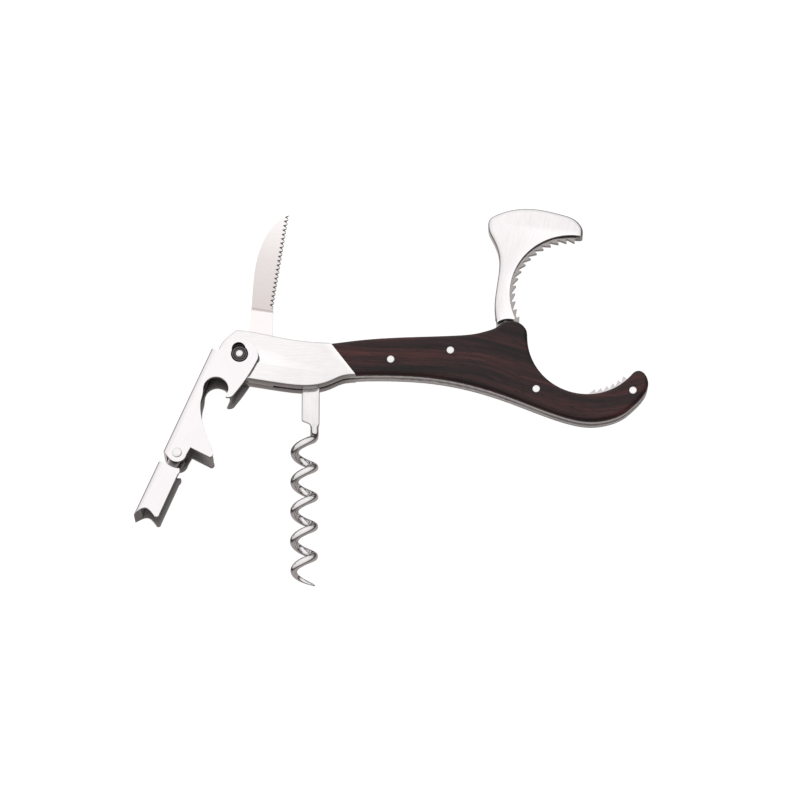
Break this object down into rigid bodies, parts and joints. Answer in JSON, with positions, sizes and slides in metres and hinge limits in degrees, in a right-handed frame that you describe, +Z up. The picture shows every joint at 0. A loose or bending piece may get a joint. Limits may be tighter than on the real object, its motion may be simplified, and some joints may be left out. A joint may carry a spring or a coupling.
{
  "type": "waiters corkscrew",
  "caption": "Folding waiter's corkscrew with a two-stage bottle lever, serrated foil blade, helical worm and a toothed champagne-cork jaw on a curved wooden handle.",
  "frame": {"origin": "centre of the part's box on the surface it lies on, with every tool open", "axes": "+X along the handle towards its hooked tail, +Y towards the open blade and jaw, +Z up, along every pivot, from the far face to the near face"},
  "size_m": [0.1346, 0.103, 0.0123],
  "materials": {
    "frame_steel": "mirror polished stainless steel with fine wiping scratches",
    "spring_steel": "satin steel bar",
    "pin_steel": "polished domed pin heads",
    "ring_steel": "dark turned steel ring",
    "lever_steel": "tumbled bright stainless sheet",
    "blade_steel": "satin ground blade",
    "worm_steel": "polished steel wire",
    "jaw_steel": "polished folded sheet",
    "teeth_steel": "stamped steel, darker in the gullets",
    "rosewood": "oiled rosewood, satin, dark streaks along the handle"
  },
  "bodies": {
    "handle": {"near_frame": "frame_steel", "far_frame": "frame_steel", "near_scale": "rosewood", "far_scale": "rosewood", "backspring": "spring_steel", "tail_spacer": "spring_steel", "scale_pins": "pin_steel", "blade_pin": "pin_steel", "worm_pin": "pin_steel", "jaw_pin": "pin_steel"},
    "axle": {"lever_axle": "pin_steel", "axle_rings": "ring_steel"},
    "lever_first": {"lever_first_stage": "lever_steel", "step_rivets": "pin_steel"},
    "lever_second": {"lever_second_stage": "lever_steel"},
    "blade": {"foil_blade": "blade_steel"},
    "screw": {"worm": "worm_steel"},
    "jaw": {"jaw_shell": "jaw_steel", "jaw_teeth": "teeth_steel"}
  },
  "joints": [
    {"name": "worm_fold", "type": "hinge", "parent": "handle", "child": "screw", "pos_m": [-0.02144, 0.00533, 0.00585], "axis": [0, 0, 1], "range_deg": [0, 80]},
    {"name": "lever_stow", "type": "hinge", "parent": "handle", "child": "axle", "pos_m": [-0.04009, 0.01003, 0.00585], "axis": [0, 0, 1], "range_deg": [0, 65]},
    {"name": "lever_swing", "type": "hinge", "parent": "axle", "child": "lever_first", "pos_m": [-0.04009, 0.01003, 0.00585], "axis": [0, 0, 1], "range_deg": [-59, 37.2]},
    {"name": "step_swing", "type": "hinge", "parent": "lever_first", "child": "lever_second", "pos_m": [-0.05619, -0.01687, 0.00585], "axis": [0, 0, 1], "range_deg": [-24, 0]},
    {"name": "blade_fold", "type": "hinge", "parent": "handle", "child": "blade", "pos_m": [-0.03449, 0.01183, 0.00585], "axis": [0, 0, -1], "range_deg": [0, 80.5]},
    {"name": "jaw_close", "type": "hinge", "parent": "handle", "child": "jaw", "pos_m": [0.03061, 0.01548, 0.00585], "axis": [0, 0, -1], "range_deg": [0, 66]}
  ],
  "couplings": [
    {"joint": "lever_stow", "follows": "worm_fold", "ratio": 0.8125}
  ]
}
